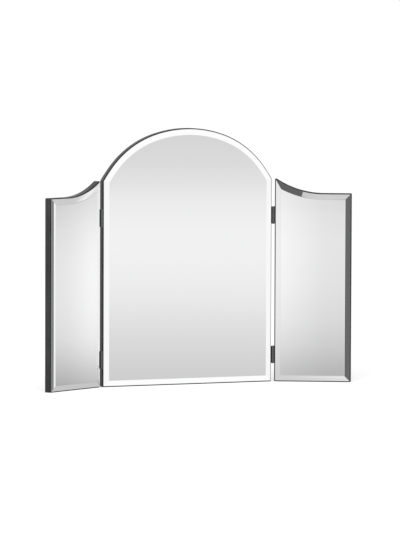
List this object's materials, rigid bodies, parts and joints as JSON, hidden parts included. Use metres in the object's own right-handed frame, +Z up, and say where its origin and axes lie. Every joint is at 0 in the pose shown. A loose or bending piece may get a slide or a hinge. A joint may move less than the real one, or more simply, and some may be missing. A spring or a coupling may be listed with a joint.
{
  "type": "trifold vanity mirror",
  "caption": "Free-standing tabletop mirror: an arched bevelled centre panel with two scoop-topped wings on butt hinges that fold forward over it.",
  "frame": {"origin": "middle of the centre board's underside, on the surface that the mirror stands on", "axes": "+Z up, +X to the right as one faces the glass, +Y from the glass to the back"},
  "size_m": [0.7894, 0.1075, 0.6099],
  "materials": {
    "painted_board": "satin black paint over fibreboard",
    "mirror_glass": "silvered, polished bevel",
    "foam_tape": "white closed-cell foam",
    "hinge_steel": "satin black coated steel",
    "screw_steel": "black oxide steel"
  },
  "bodies": {
    "centre_panel": {"centre_board": "painted_board", "centre_glass": "mirror_glass", "centre_tape": "foam_tape", "left_upper_hinge_centre_leaf": "hinge_steel", "left_upper_hinge_pin": "hinge_steel", "left_upper_hinge_centre_screws": "screw_steel", "left_lower_hinge_centre_leaf": "hinge_steel", "left_lower_hinge_pin": "hinge_steel", "left_lower_hinge_centre_screws": "screw_steel", "right_upper_hinge_centre_leaf": "hinge_steel", "right_upper_hinge_pin": "hinge_steel", "right_upper_hinge_centre_screws": "screw_steel", "right_lower_hinge_centre_leaf": "hinge_steel", "right_lower_hinge_pin": "hinge_steel", "right_lower_hinge_centre_screws": "screw_steel"},
    "left_wing": {"left_wing_board": "painted_board", "left_wing_glass": "mirror_glass", "left_wing_tape": "foam_tape", "left_upper_hinge_wing_leaf": "hinge_steel", "left_upper_hinge_wing_screws": "screw_steel", "left_lower_hinge_wing_leaf": "hinge_steel", "left_lower_hinge_wing_screws": "screw_steel"},
    "right_wing": {"right_wing_board": "painted_board", "right_wing_glass": "mirror_glass", "right_wing_tape": "foam_tape", "right_upper_hinge_wing_leaf": "hinge_steel", "right_upper_hinge_wing_screws": "screw_steel", "right_lower_hinge_wing_leaf": "hinge_steel", "right_lower_hinge_wing_screws": "screw_steel"}
  },
  "joints": [
    {"name": "left_wing_hinge", "type": "hinge", "parent": "centre_panel", "child": "left_wing", "pos_m": [-0.22225, -0.01075, 0.2325], "axis": [0, 0, 1], "range_deg": [-29, 136]},
    {"name": "right_wing_hinge", "type": "hinge", "parent": "centre_panel", "child": "right_wing", "pos_m": [0.22225, -0.01075, 0.2325], "axis": [0, 0, -1], "range_deg": [-29, 136]}
  ]
}
